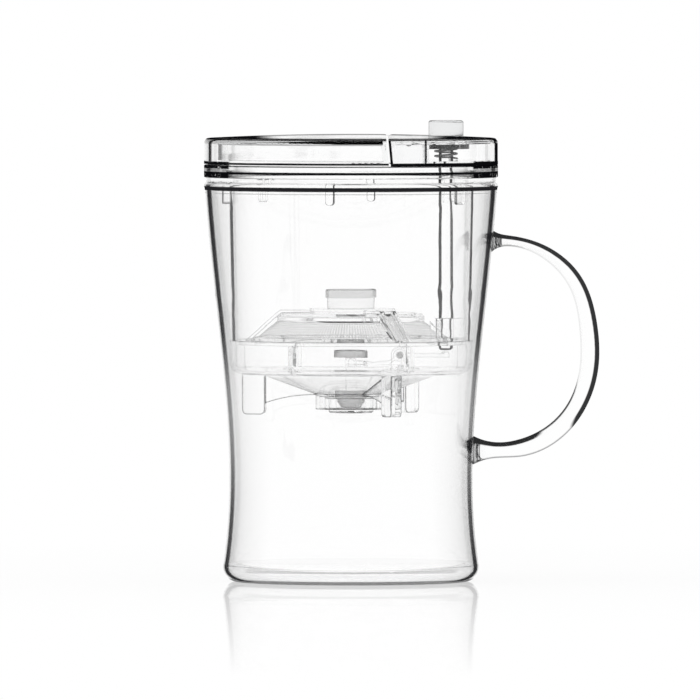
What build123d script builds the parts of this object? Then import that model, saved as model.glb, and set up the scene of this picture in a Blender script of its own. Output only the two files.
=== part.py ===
from build123d import *
from math import asin, cos, degrees, hypot, radians, sin, sqrt, tan
import os

# Lidded tea mug with a push-button infuser, in millimetres.
# The origin is the centre of the mug's resting face. +Z is up and the handle points to +X.
# The lid's hinge and the valve lever turn about axes that lie along Y.

os.makedirs("parts", exist_ok=True)

# ---------------------------------------------------------------- driving dimensions

# glass mug: radii are those of the outer face
mug_height = 120.0
foot_radius = 38.5
foot_corner = 4.5
waist_radius = 36.6
waist_height = 38.0
belly_radius = 39.0
shoulder_radius = 42.3
shoulder_drop = 20.5
rim_radius = 44.1
rim_bead_radius = 1.25
rim_flare = 0.15
glass_wall = 1.8
glass_base = 3.2
inner_corner = 2.8

# handle: a drawn glass rod fused to the mug at both ends
handle_reach = 71.2
handle_straight = 5.25
handle_drop = 17.7
handle_bottom = 39.4
handle_depth = 3.2
handle_half_neck = 2.1
handle_half_top = 1.6
handle_half_arm = 1.8
handle_half_bend = 2.35
handle_half_side = 2.75
handle_half_low = 2.6
handle_root_top = 3.5
handle_root_low = 3.6
handle_root_bottom = 4.3
handle_root_depth = 4.2
handle_neck_depth = 3.6

# brewing liner: a clear tube that hangs in the mug by its flange
liner_radius = 36.8
liner_draft = 1.0
liner_wall = 1.3
liner_length = 47.6
flange_thickness = 1.2
flange_inset = 0.7
rib_angles = (28.0, 80.5, 137.5, 192.0, 260.5, 328.0)
rib_width = 2.4
rib_drop = 6.6
rib_reach = 38.9
rib_round = 0.95

# collar ring on the liner's flange
collar_height = 3.8
collar_plate = 1.4
collar_wall = 1.8
collar_overhang = 0.1
collar_round = 0.4

# lid and button housing: two parts of one low dome
cap_height = 8.0
cap_rise = 1.1
cap_wall = 1.7
cap_plate = 1.6
cap_corner = 1.5
face_x = 11.1
face_lean = 5.5
face_wall = 1.5
face_chamfer = 1.0
skirt_inset = 4.1
skirt_width = 3.9
skirt_height = 5.0
gasket_width = 2.1
gasket_height = 3.0
gasket_groove = 2.0

# hinge of the lid, in the bridge of the housing
bridge_width = 12.0
bridge_length = 52.0
bridge_drop = 0.4
bridge_corner = 1.4
hinge_inset = 6.0
hinge_depth = 2.3
knuckle_radius = 1.9
knuckle_width = 4.0
knuckle_spacing = 18.0
knuckle_root = 2.5
hinge_pin_radius = 1.0
hinge_pin_length = 30.0

# push button, its spring and its rod
button_x = 28.5
button_radius = 5.25
button_height = 5.3
button_wall = 1.05
button_top = 5.2
button_flange_radius = 7.0
button_flange = 1.4
button_round = 0.8
button_travel = 3.0
floor_thickness = 1.3
floor_inset = 2.3
rod_radius = 2.15
rod_chamfer = 0.5
spring_radius = 3.3
spring_wire = 0.6
spring_turns = 4

# guide block of the rod, on the liner's inner wall
guide_width = 9.0
guide_height = 6.0
guide_wall = 1.0
guide_round = 1.0

# base cup: wall, flat floor, funnel, outlet collar, feet and webs
cup_height = 10.1
cup_wall = 1.5
cup_floor = 1.3
cup_corner = 3.7
cup_flat = 5.7
cup_clearance = 0.7
funnel_slope = 19.8
outlet_radius = 10.65
outlet_drop = 4.7
outlet_wall = 1.15
nozzle_wall = 1.15
nozzle_radius = 6.75
nozzle_groove = 1.6
ledge_drop = 1.3
ledge_width = 3.0
ledge_thickness = 1.6
ledge_count = 6
ledge_turn = 0.0
foot_count = 3
foot_turn = 53.8
foot_inner = 25.9
foot_outer = 32.9
foot_width = 3.4
foot_drop = 12.3
foot_round = 1.5
web_thickness = 1.6
web_arch = 5.3
web_arch_end = 5.9
web_lap = 1.0
web_sink = 0.2

# outlet ring and valve
seat_height = 4.7
seat_bore = 4.5
seat_lip = 1.1
seat_chamfer = 0.4
plug_radius = 4.8
plug_height = 2.6
bowl_radius = 4.1
bowl_depth = 3.2
bowl_taper_height = 1.76
bowl_bottom_radius = 2.87
stem_radius = 1.8
stem_socket = 1.6
head_radius = 5.1
head_height = 2.2
head_round = 0.5

# lever that lifts the valve
pivot_x = 14.5
pivot_rise = 5.6
lever_pin_radius = 0.8
lever_boss_radius = 1.9
lever_arm = 1.3
lever_nose_rise = 0.6
lever_width = 8.8
lever_crank = 2.2
lever_bend = 1.5
fork_slot = 4.6
fork_length = 5.0
ear_thickness = 1.6
ear_width = 5.2

# filter
filter_flange = 33.6
filter_flange_thickness = 1.2
cone_base = 30.3
cone_top = 21.0
cone_height = 8.2
filter_thickness = 1.2
filter_rim = 1.1
spoke_count = 3
spoke_turn = 60.0
spoke_width = 5.6
rail_width = 1.3
rail_height = 0.9
rail_root = 0.4
rail_inset = 0.15
hub_radius = 12.4
hub_height = 1.4
neck_radius = 7.1
neck_height = 3.2
knob_radius = 7.65
knob_height = 2.5
knob_round = 0.5
knob_edge = 0.4
mesh_thickness = 0.4
notch_wall = 1.0
notch_clearance = 0.6

# clearances
seat_gap = 0.1
moving_gap = 0.3
running_fit = 0.08
bond_gap = 0.02
face_gap = 0.55
hinge_swing_gap = 0.9
cut_past = 1.0

# ---------------------------------------------------------------- levels and places

rim_z = mug_height
seat_z = rim_z + seat_gap
flange_top = seat_z + flange_thickness
flange_radius = rim_radius - flange_inset
shoulder_height = mug_height - shoulder_drop
handle_top = mug_height - handle_drop
handle_round = (handle_top - handle_bottom) / 2 - handle_straight
collar_top = flange_top + collar_height
cap_top = collar_top + cap_height
cap_under = cap_top - cap_plate
cup_top = seat_z - liner_length
cup_bottom = cup_top - cup_height
belly_height = cup_top - cup_height / 3
cup_radius = belly_radius - glass_wall - cup_clearance
liner_low_radius = liner_radius - liner_draft
collar_inner = liner_radius - liner_wall + collar_overhang
skirt_radius = rim_radius - skirt_inset
floor_radius = rim_radius - floor_inset

hinge_x = face_x + hinge_inset
hinge_z = cap_top + cap_rise - hinge_depth
bridge_right = face_x + bridge_width
bridge_z = collar_top - bridge_drop

floor_top = collar_top + seat_gap + floor_thickness
flange_up = cap_under - moving_gap
button_tip = cap_top + button_height
rod_top = button_tip - button_top

slope = tan(radians(funnel_slope))
funnel_edge = cup_radius - cup_corner - cup_flat
outlet_z = cup_bottom - outlet_drop - (funnel_edge - outlet_radius) * slope
seat_top = outlet_z - seat_lip + seat_height
plug_z = seat_top + seat_gap
pivot_z = cup_bottom + pivot_rise
fork_z = pivot_z - lever_crank
lever_nose = (lever_arm + lever_nose_rise) / 2
fork_top = fork_z + lever_arm / 2 + lever_nose_rise
arm_top = pivot_z + lever_arm / 2 + lever_nose_rise
head_z = fork_top + moving_gap
rod_tip = arm_top + moving_gap
ledge_z = cup_top - ledge_drop
filter_z = ledge_z + seat_gap
cone_z = filter_z + filter_flange_thickness
deck_z = cone_z + cone_height
hub_top = deck_z + hub_height
guide_x = button_x - rod_radius - running_fit - guide_wall
guide_z = cone_z + 2 * moving_gap
notch_x = guide_x - notch_clearance
notch_half = guide_width / 2 + notch_clearance


def lean_plane(shift):
    """The leaning face between lid and housing, moved by shift along X."""
    lean = radians(face_lean)
    return Plane(origin=(face_x + shift, 0, cap_top), x_dir=(0, 1, 0), z_dir=(cos(lean), 0, sin(lean)))


def side_plane(y):
    """A plane that faces -Y, with X to the right and Z up."""
    return Plane(origin=(0, y, 0), x_dir=(1, 0, 0), z_dir=(0, -1, 0))


def radial_plane(angle, radius, height):
    """A plane that faces outwards at an angle, with its second axis up."""
    a = radians(angle)
    return Plane(
        origin=(radius * cos(a), radius * sin(a), height),
        x_dir=(-sin(a), cos(a), 0),
        z_dir=(cos(a), sin(a), 0),
    )


# ---------------------------------------------------------------- glass mug

def wall_stations(inset):
    """The stations of the mug's wall above its corner, moved inwards."""
    return [
        (waist_radius - inset, waist_height),
        (belly_radius - inset, belly_height),
        (shoulder_radius - inset, shoulder_height),
        (rim_radius - rim_flare - inset, rim_z - rim_bead_radius),
    ]


with BuildPart() as mug_form:
    with BuildSketch(Plane.XZ):
        with BuildLine():
            Line((0, 0), (foot_radius - foot_corner, 0))
            RadiusArc((foot_radius - foot_corner, 0), (foot_radius, foot_corner), -foot_corner)
            Spline((foot_radius, foot_corner), *wall_stations(0))
            Polyline(wall_stations(0)[-1], (0, rim_z - rim_bead_radius), (0, 0))
        make_face()
    revolve(axis=Axis.Z)

with BuildPart() as mug_body:
    add(mug_form.part)
    with BuildSketch(Plane.XZ):
        with BuildLine():
            Line((0, glass_base), (foot_radius - glass_wall - inner_corner, glass_base))
            RadiusArc(
                (foot_radius - glass_wall - inner_corner, glass_base),
                (foot_radius - glass_wall, glass_base + inner_corner),
                -inner_corner,
            )
            Spline((foot_radius - glass_wall, glass_base + inner_corner), *wall_stations(glass_wall))
            Polyline(wall_stations(glass_wall)[-1], (0, rim_z - rim_bead_radius), (0, glass_base))
        make_face()
    revolve(axis=Axis.Z, mode=Mode.SUBTRACT)
    with BuildSketch(Plane.XZ):
        with Locations((rim_radius - rim_bead_radius, rim_z - rim_bead_radius)):
            Circle(rim_bead_radius)
    revolve(axis=Axis.Z)
mug_body.part.label = "mug_body"

# ---------------------------------------------------------------- handle

handle_root_x = waist_radius - glass_wall
# place along the handle, half thickness seen from the side, half depth along Y
handle_sections = [
    (0.0, handle_root_top, handle_root_depth),
    (0.065, handle_root_top, handle_root_depth),
    (0.085, handle_half_neck, handle_neck_depth),
    (0.115, handle_half_top, handle_depth),
    (0.2, handle_half_arm, handle_depth),
    (0.32, handle_half_bend, handle_depth),
    (0.45, handle_half_side, handle_depth),
    (0.6, handle_half_side, handle_depth),
    (0.74, handle_half_side, handle_depth),
    (0.86, handle_half_low, handle_depth),
    (0.94, handle_half_low, handle_depth),
    (0.97, handle_root_low, handle_neck_depth),
    (0.985, handle_root_bottom, handle_root_depth),
    (1.0, handle_root_bottom, handle_root_depth),
]
with BuildLine(Plane.XZ) as handle_line:
    FilletPolyline(
        (handle_root_x, handle_top),
        (handle_reach, handle_top),
        (handle_reach, handle_bottom),
        (handle_root_x, handle_bottom),
        radius=handle_round,
    )

with BuildPart() as mug_handle:
    for place, half_thickness, half_depth in handle_sections:
        section_plane = Plane(
            origin=handle_line.wire() @ place, x_dir=(0, 1, 0), z_dir=handle_line.wire() % place)
        with BuildSketch(section_plane):
            Ellipse(half_depth, half_thickness)
    loft()
    add(mug_form.part, mode=Mode.SUBTRACT)
mug_handle.part.label = "mug_handle"

# ---------------------------------------------------------------- brewing liner

with BuildPart() as brewing_liner:
    with BuildSketch(Plane.XZ):
        with BuildLine():
            Polyline(
                (liner_low_radius, cup_top),
                (liner_radius, seat_z),
                (flange_radius, seat_z),
                (flange_radius, flange_top),
                (liner_radius - liner_wall, flange_top),
                (liner_low_radius - liner_wall, cup_top),
                close=True,
            )
        make_face()
    revolve(axis=Axis.Z)
    rib_start = liner_radius - liner_wall / 2
    for angle in rib_angles:
        with BuildSketch(radial_plane(angle, rib_start, seat_z)):
            Rectangle(rib_width, rib_drop, align=(Align.CENTER, Align.MAX))
            fillet(vertices().group_by(Axis.Y)[0], rib_round)
        extrude(amount=rib_reach - rib_start)
brewing_liner.part.label = "brewing_liner"

# ---------------------------------------------------------------- collar ring

with BuildPart() as collar_ring:
    with BuildSketch(Plane.XZ):
        with Locations((collar_inner, flange_top)):
            Rectangle(rim_radius - collar_inner, collar_height, align=(Align.MIN, Align.MIN))
        with Locations((collar_inner + collar_wall, flange_top)):
            Rectangle(
                rim_radius - collar_inner - 2 * collar_wall,
                collar_height - collar_plate,
                align=(Align.MIN, Align.MIN),
                mode=Mode.SUBTRACT,
            )
    revolve(axis=Axis.Z)
    fillet(edges().filter_by(GeomType.CIRCLE).sort_by(SortBy.RADIUS)[-2:], collar_round)
collar_ring.part.label = "collar_ring"


# ---------------------------------------------------------------- lid and button housing

dome_reach = rim_radius - cap_corner
dome_radius = (dome_reach * dome_reach + cap_rise * cap_rise) / (2 * cap_rise)
face_top = cap_top + cap_rise - dome_radius + sqrt(dome_radius * dome_radius - face_x * face_x)


def cap_section(bottom):
    """Half section of the low dome above a level, drawn from its axis to its rim."""
    with BuildSketch(Plane.XZ) as section:
        with BuildLine():
            Line((0, bottom), (rim_radius, bottom))
            Line((rim_radius, bottom), (rim_radius, cap_top - cap_corner))
            RadiusArc(
                (rim_radius, cap_top - cap_corner), (rim_radius - cap_corner, cap_top), -cap_corner)
            RadiusArc((rim_radius - cap_corner, cap_top), (0, cap_top + cap_rise), -dome_radius)
            Line((0, cap_top + cap_rise), (0, bottom))
        make_face()
    return section.sketch


hinge_arms = [-knuckle_spacing / 2, knuckle_spacing / 2]

with BuildPart() as lid_hollow:
    with BuildSketch(Plane.XY.offset(collar_top)):
        Circle(rim_radius - cap_wall)
    extrude(amount=cap_under - collar_top)
    split(bisect_by=lean_plane(-face_gap - face_wall), keep=Keep.BOTTOM)

with BuildPart() as lid_shell:
    revolve(cap_section(collar_top + moving_gap), axis=Axis.Z)
    split(bisect_by=lean_plane(-face_gap), keep=Keep.BOTTOM)
    add(lid_hollow.part, mode=Mode.SUBTRACT)
    for arm_y in hinge_arms:
        with BuildSketch(side_plane(arm_y)):
            with Locations((hinge_x, hinge_z)):
                Rectangle(
                    hinge_inset + knuckle_root, 2 * knuckle_radius, align=(Align.MAX, Align.CENTER))
                Circle(knuckle_radius)
        extrude(amount=knuckle_width / 2, both=True)
    with BuildSketch(Plane.XZ):
        with Locations((hinge_x, hinge_z)):
            Circle(hinge_pin_radius + running_fit)
    extrude(amount=knuckle_spacing, both=True, mode=Mode.SUBTRACT)
lid_shell.part.label = "lid_shell"

with BuildPart() as lid_skirt:
    with BuildSketch(Plane.XZ):
        with Locations((skirt_radius, cap_under)):
            Rectangle(skirt_width, skirt_height, align=(Align.MAX, Align.MAX))
        with Locations((skirt_radius - skirt_width / 2, cap_under - skirt_height)):
            Rectangle(
                gasket_width + 2 * bond_gap,
                gasket_groove,
                align=(Align.CENTER, Align.MIN),
                mode=Mode.SUBTRACT,
            )
    revolve(axis=Axis.Z)
    split(bisect_by=lean_plane(-face_gap - face_wall - bond_gap), keep=Keep.BOTTOM)
lid_skirt.part.label = "lid_skirt"

with BuildPart() as lid_gasket:
    with BuildSketch(Plane.XZ):
        with Locations(
            (skirt_radius - skirt_width / 2, cap_under - skirt_height + gasket_groove - bond_gap)):
            Rectangle(gasket_width, gasket_height - bond_gap, align=(Align.CENTER, Align.MAX))
    revolve(axis=Axis.Z)
    split(bisect_by=lean_plane(-face_gap - face_wall - bond_gap), keep=Keep.BOTTOM)
lid_gasket.part.label = "lid_gasket"

with BuildPart() as housing_hollow:
    with BuildSketch(Plane.XY.offset(collar_top - cut_past)):
        Circle(rim_radius - cap_wall)
    extrude(amount=cap_under - collar_top + cut_past)
    split(bisect_by=lean_plane(face_wall), keep=Keep.TOP)
    with BuildSketch(Plane.XY.offset(collar_top - cut_past)):
        with Locations((face_x, 0)):
            Rectangle(bridge_width, bridge_length, align=(Align.MIN, Align.CENTER))
    extrude(amount=cap_top - collar_top, mode=Mode.SUBTRACT)
    with BuildSketch(Plane.XY.offset(collar_top - cut_past)):
        with Locations((button_x, 0)):
            Circle(button_flange_radius + moving_gap)
    extrude(amount=cap_under - collar_top + cut_past)

with BuildPart() as button_housing:
    revolve(cap_section(collar_top), axis=Axis.Z)
    with BuildSketch(Plane.XZ):
        with BuildLine():
            Polyline(
                (face_x, cap_top),
                (bridge_right, cap_top),
                (bridge_right, bridge_z),
                (face_x + (cap_top - bridge_z) * tan(radians(face_lean)), bridge_z),
                close=True,
            )
        make_face()
        fillet(vertices().group_by(Axis.Y)[0], bridge_corner)
    extrude(amount=bridge_length / 2, both=True)
    split(bisect_by=lean_plane(0), keep=Keep.TOP)
    with BuildSketch(Plane.XZ):
        with BuildLine():
            Polyline(
                (face_x, face_top - face_chamfer),
                (face_x + face_chamfer, face_top),
                (face_x + face_chamfer, face_top + cap_rise),
                (face_x - face_chamfer, face_top + cap_rise),
                (face_x - face_chamfer, face_top - face_chamfer),
                close=True,
            )
        make_face()
    extrude(amount=rim_radius, both=True, mode=Mode.SUBTRACT)
    add(housing_hollow.part, mode=Mode.SUBTRACT)
    with BuildSketch(Plane.XY.offset(cap_under - cut_past)):
        with Locations((button_x, 0)):
            Circle(button_radius + moving_gap)
    extrude(amount=cap_height, mode=Mode.SUBTRACT)
    for arm_y in hinge_arms:
        with BuildSketch(side_plane(arm_y)):
            with Locations((hinge_x + knuckle_radius + hinge_swing_gap,
                            hinge_z - knuckle_radius - moving_gap)):
                Rectangle(
                    hinge_inset + cap_height, cap_height, align=(Align.MAX, Align.MIN))
        extrude(amount=knuckle_width / 2 + moving_gap, both=True, mode=Mode.SUBTRACT)
    with BuildSketch(Plane.XZ):
        with Locations((hinge_x, hinge_z)):
            Circle(hinge_pin_radius + bond_gap)
    extrude(amount=bridge_length / 2, both=True, mode=Mode.SUBTRACT)
button_housing.part.label = "button_housing"

with BuildPart() as hinge_pin:
    with BuildSketch(Plane.XZ):
        with Locations((hinge_x, hinge_z)):
            Circle(hinge_pin_radius)
    extrude(amount=hinge_pin_length / 2, both=True)
hinge_pin.part.label = "hinge_pin"

with BuildPart() as housing_floor:
    with BuildSketch(Plane.XY.offset(collar_top + seat_gap)):
        Circle(floor_radius)
        with Locations((bridge_right + moving_gap, 0)):
            Rectangle(
                4 * floor_radius, 4 * floor_radius, align=(Align.MAX, Align.CENTER), mode=Mode.SUBTRACT)
        with Locations((button_x, 0)):
            Circle(rod_radius + moving_gap, mode=Mode.SUBTRACT)
    extrude(amount=floor_thickness)
housing_floor.part.label = "housing_floor"

# ---------------------------------------------------------------- push button, rod and spring

button_axis = Axis((button_x, 0, 0), (0, 0, 1))

with BuildPart() as button_cap:
    with BuildSketch(Plane.XZ):
        with BuildLine():
            Polyline(
                (button_x, button_tip),
                (button_x + button_radius, button_tip),
                (button_x + button_radius, flange_up),
                (button_x + button_flange_radius, flange_up),
                (button_x + button_flange_radius, flange_up - button_flange),
                (button_x + button_radius - button_wall, flange_up - button_flange),
                (button_x + button_radius - button_wall, rod_top),
                (button_x, rod_top),
                close=True,
            )
        make_face()
        fillet(vertices().group_by(Axis.Y)[-1].sort_by(Axis.X)[-1:], button_round)
    revolve(axis=button_axis)
button_cap.part.label = "button_cap"

with BuildPart() as push_rod:
    with BuildSketch(Plane.XY.offset(rod_tip)):
        with Locations((button_x, 0)):
            Circle(rod_radius)
    extrude(amount=rod_top - rod_tip)
    chamfer(edges().group_by(Axis.Z)[0], rod_chamfer)
push_rod.part.label = "push_rod"

spring_low = floor_top + spring_wire / 2 + seat_gap
spring_high = rod_top - spring_wire / 2 - seat_gap
with BuildPart() as button_spring:
    with BuildLine(Plane(origin=(button_x, 0, spring_low))):
        coil = Helix(
            pitch=(spring_high - spring_low) / spring_turns,
            height=spring_high - spring_low,
            radius=spring_radius,
        )
    with BuildSketch(Plane(origin=coil @ 0, z_dir=coil % 0)):
        Circle(spring_wire / 2)
    sweep(is_frenet=True)
button_spring.part.label = "button_spring"

# ---------------------------------------------------------------- guide block

with BuildPart() as rod_guide:
    with BuildSketch(Plane.XY.offset(guide_z)):
        with Locations((guide_x, 0)):
            Rectangle(liner_radius, guide_width, align=(Align.MIN, Align.CENTER))
        fillet(vertices().group_by(Axis.X)[0], guide_round)
        with Locations((button_x, 0)):
            Circle(rod_radius + running_fit, mode=Mode.SUBTRACT)
    extrude(amount=guide_height)
    with BuildSketch(Plane.XZ):
        with BuildLine():
            Polyline(
                (0, cup_top),
                (liner_low_radius - liner_wall - bond_gap, cup_top),
                (liner_radius - liner_wall - bond_gap, flange_top),
                (0, flange_top),
                close=True,
            )
        make_face()
    revolve(axis=Axis.Z, mode=Mode.INTERSECT)
rod_guide.part.label = "rod_guide"

# ---------------------------------------------------------------- base cup

collar_root = cup_bottom - (funnel_edge - outlet_radius) * slope
cup_inside = cup_bottom + cup_floor
cup_inner_radius = cup_radius - cup_wall


def funnel_inside(radius):
    """Height of the funnel's inner face at a radius."""
    return cup_inside - (funnel_edge - radius) * slope


with BuildPart() as base_cup:
    with BuildSketch(Plane.XZ):
        with BuildLine():
            Polyline(
                (cup_inner_radius, cup_top),
                (cup_radius, cup_top),
                (cup_radius, cup_bottom + cup_corner),
            )
            RadiusArc(
                (cup_radius, cup_bottom + cup_corner), (cup_radius - cup_corner, cup_bottom), cup_corner)
            Polyline(
                (cup_radius - cup_corner, cup_bottom),
                (funnel_edge, cup_bottom),
                (outlet_radius, collar_root),
                (outlet_radius, outlet_z),
                (outlet_radius - outlet_wall, outlet_z),
                (outlet_radius - outlet_wall, funnel_inside(outlet_radius - outlet_wall) - nozzle_groove),
                (nozzle_radius + nozzle_wall, funnel_inside(nozzle_radius + nozzle_wall) - nozzle_groove),
                (nozzle_radius + nozzle_wall, outlet_z),
                (nozzle_radius, outlet_z),
                (nozzle_radius, funnel_inside(nozzle_radius)),
                (funnel_edge, cup_inside),
                (cup_inner_radius - cup_corner + cup_wall, cup_inside),
            )
            RadiusArc(
                (cup_inner_radius - cup_corner + cup_wall, cup_inside),
                (cup_inner_radius, cup_inside + cup_corner - cup_wall),
                -(cup_corner - cup_wall),
            )
            Line((cup_inner_radius, cup_inside + cup_corner - cup_wall), (cup_inner_radius, cup_top))
        make_face()
    revolve(axis=Axis.Z)

    # ledge ribs that carry the filter
    ledge_start = cup_inner_radius - ledge_width
    for number in range(ledge_count):
        ledge_angle = ledge_turn + number * 360 / ledge_count
        with BuildSketch(radial_plane(ledge_angle, ledge_start, ledge_z)):
            Rectangle(ledge_thickness, ledge_z - cup_inside, align=(Align.CENTER, Align.MAX))
        extrude(amount=ledge_width + cup_wall / 2)

    # feet with rounded tips, and webs to the outlet collar with an arched lower edge
    foot_z = cup_bottom - foot_drop
    web_inner = outlet_radius - outlet_wall / 2
    web_outer = foot_inner + web_lap
    for number in range(foot_count):
        foot_angle = foot_turn + number * 360 / foot_count
        turned = Plane(origin=(0, 0, 0), x_dir=(cos(radians(foot_angle)), sin(radians(foot_angle)), 0),
                       z_dir=(sin(radians(foot_angle)), -cos(radians(foot_angle)), 0))
        with BuildSketch(turned):
            with Locations((foot_inner, cup_bottom + cup_floor / 2)):
                Rectangle(
                    foot_outer - foot_inner,
                    foot_drop + cup_floor / 2,
                    align=(Align.MIN, Align.MAX),
                )
            fillet(vertices().group_by(Axis.Y)[0], foot_round)
        extrude(amount=foot_width / 2, both=True)
        with BuildSketch(turned):
            with BuildLine():
                Polyline(
                    (web_inner, foot_z + web_arch_end),
                    (web_inner, collar_root),
                    (web_outer, cup_bottom + web_sink),
                    (web_outer, foot_z + 2 * foot_round),
                )
                ThreePointArc(
                    (web_outer, foot_z + 2 * foot_round),
                    ((foot_inner + outlet_radius) / 2, foot_z + web_arch),
                    (web_inner, foot_z + web_arch_end),
                )
            make_face()
        extrude(amount=web_thickness / 2, both=True)

    # ears that carry the lever's pin
    for side in (-1, 1):
        ear_y = side * (lever_width / 2 + moving_gap + ear_thickness / 2)
        with BuildSketch(side_plane(ear_y)):
            with BuildLine():
                Polyline(
                    (pivot_x - ear_width / 2, pivot_z),
                    (pivot_x - ear_width / 2, funnel_inside(pivot_x - ear_width / 2) - cup_floor / 2),
                    (pivot_x + ear_width / 2, funnel_inside(pivot_x + ear_width / 2) - cup_floor / 2),
                    (pivot_x + ear_width / 2, pivot_z),
                )
                ThreePointArc(
                    (pivot_x + ear_width / 2, pivot_z),
                    (pivot_x, pivot_z + ear_width / 2),
                    (pivot_x - ear_width / 2, pivot_z),
                )
            make_face()
            with Locations((pivot_x, pivot_z)):
                Circle(lever_pin_radius + bond_gap, mode=Mode.SUBTRACT)
        extrude(amount=ear_thickness / 2, both=True)
base_cup.part.label = "base_cup"

# ---------------------------------------------------------------- outlet ring

with BuildPart() as outlet_ring:
    with BuildSketch(Plane.XY.offset(outlet_z - seat_lip)):
        Circle(nozzle_radius - bond_gap)
        Circle(seat_bore, mode=Mode.SUBTRACT)
    extrude(amount=seat_height)
    chamfer(edges().group_by(Axis.Z)[0].sort_by(SortBy.RADIUS)[-1:], seat_chamfer)
outlet_ring.part.label = "outlet_ring"

# ---------------------------------------------------------------- valve

with BuildPart() as valve_plug:
    with BuildSketch(Plane.XZ):
        with BuildLine():
            Polyline(
                (0, plug_z - bowl_depth),
                (bowl_bottom_radius, plug_z - bowl_depth),
                (bowl_radius, plug_z - bowl_depth + bowl_taper_height),
                (bowl_radius, plug_z),
                (plug_radius, plug_z),
                (plug_radius, plug_z + plug_height),
                (stem_radius + bond_gap, plug_z + plug_height),
                (stem_radius + bond_gap, plug_z + plug_height - stem_socket),
                (0, plug_z + plug_height - stem_socket),
                close=True,
            )
        make_face()
    revolve(axis=Axis.Z)
valve_plug.part.label = "valve_plug"

with BuildPart() as valve_stem:
    with BuildSketch(Plane.XY.offset(plug_z + plug_height - stem_socket + bond_gap)):
        Circle(stem_radius)
    extrude(amount=head_z - plug_z - plug_height + stem_socket - bond_gap)
valve_stem.part.label = "valve_stem"

with BuildPart() as valve_head:
    with BuildSketch(Plane.XY.offset(head_z)):
        Circle(head_radius)
    extrude(amount=head_height)
    fillet(edges().group_by(Axis.Z)[-1], head_round)
valve_head.part.label = "valve_head"

# ---------------------------------------------------------------- lever and its pin

with BuildPart() as valve_lever:
    with BuildSketch(Plane.XZ):
        with BuildLine():
            Polyline(
                (-lever_nose, fork_z - lever_arm / 2),
                (pivot_x - lever_boss_radius - lever_bend, fork_z - lever_arm / 2),
                (pivot_x, pivot_z - lever_arm / 2),
                (button_x + lever_nose, pivot_z - lever_arm / 2),
                (button_x + lever_nose, pivot_z + lever_arm / 2),
                (pivot_x, pivot_z + lever_arm / 2),
                (pivot_x - lever_boss_radius - lever_bend, fork_z + lever_arm / 2),
                (-lever_nose, fork_z + lever_arm / 2),
                close=True,
            )
        make_face()
        with Locations((pivot_x, pivot_z)):
            Circle(lever_boss_radius)
        with Locations((0, fork_top - lever_nose), (button_x, arm_top - lever_nose)):
            Circle(lever_nose)
    extrude(amount=lever_width / 2, both=True)
    with BuildSketch(Plane.XZ):
        with Locations((pivot_x, pivot_z)):
            Circle(lever_pin_radius + running_fit)
    extrude(amount=lever_width, both=True, mode=Mode.SUBTRACT)
    with BuildSketch(Plane.XY.offset(fork_z - lever_boss_radius)):
        with Locations((fork_length - fork_slot / 2, 0)):
            Circle(fork_slot / 2)
            Rectangle(3 * fork_length, fork_slot, align=(Align.MAX, Align.CENTER))
    extrude(amount=4 * lever_boss_radius, mode=Mode.SUBTRACT)
valve_lever.part.label = "valve_lever"

with BuildPart() as lever_pin:
    with BuildSketch(Plane.XZ):
        with Locations((pivot_x, pivot_z)):
            Circle(lever_pin_radius)
    extrude(amount=lever_width / 2 + moving_gap + ear_thickness, both=True)
lever_pin.part.label = "lever_pin"

# ---------------------------------------------------------------- filter

window_outer = cone_base - filter_rim
window_inner = cone_top + filter_rim
deck_outer = cone_top - filter_rim


with BuildPart() as cone_form:
    with BuildSketch(Plane.XZ):
        with BuildLine():
            Polyline(
                (0, filter_z),
                (filter_flange, filter_z),
                (filter_flange, cone_z),
                (cone_base, cone_z),
                (cone_top, deck_z),
                (0, deck_z),
                close=True,
            )
        make_face()
    revolve(axis=Axis.Z)

# a pair of raised rails along each spoke, from the flange over the deck to the hub
cone_length = hypot(cone_base - cone_top, cone_height)
rail_out = rail_height * cone_length / cone_height
rail_up = rail_height * (cone_length - cone_height) / (cone_base - cone_top)
rail_offset = (spoke_width - rail_width) / 2 - rail_inset

with BuildPart() as spoke_rails:
    with BuildSketch(Plane.XZ):
        with BuildLine():
            Polyline(
                (hub_radius - rail_root, deck_z - rail_root),
                (cone_top - rail_root, deck_z - rail_root),
                (cone_base - rail_root, cone_z - rail_root),
                (cone_base + rail_out, cone_z - rail_root),
                (cone_base + rail_out, cone_z),
                (cone_top + rail_up, deck_z + rail_height),
                (hub_radius - rail_root, deck_z + rail_height),
                close=True,
            )
        make_face()
    revolve(axis=Axis.Z)
    with BuildSketch(Plane.XY.offset(filter_z)):
        for number in range(spoke_count):
            with Locations(Location((0, 0, 0), (0, 0, spoke_turn + number * 360 / spoke_count))):
                with Locations((0, rail_offset), (0, -rail_offset)):
                    Rectangle(2 * cone_base, rail_width, align=(Align.MIN, Align.CENTER))
    extrude(amount=2 * cone_height, mode=Mode.INTERSECT)

with BuildPart() as notch_frame:
    with BuildSketch(Plane.XY.offset(filter_z)):
        with Locations((notch_x - notch_wall, 0)):
            Rectangle(
                filter_flange - notch_x, 2 * (notch_half + notch_wall), align=(Align.MIN, Align.CENTER))
        with Locations((notch_x, 0)):
            Rectangle(filter_flange, 2 * notch_half, align=(Align.MIN, Align.CENTER), mode=Mode.SUBTRACT)
    extrude(amount=cone_height + filter_flange_thickness)
    add(cone_form.part, mode=Mode.INTERSECT)

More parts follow.
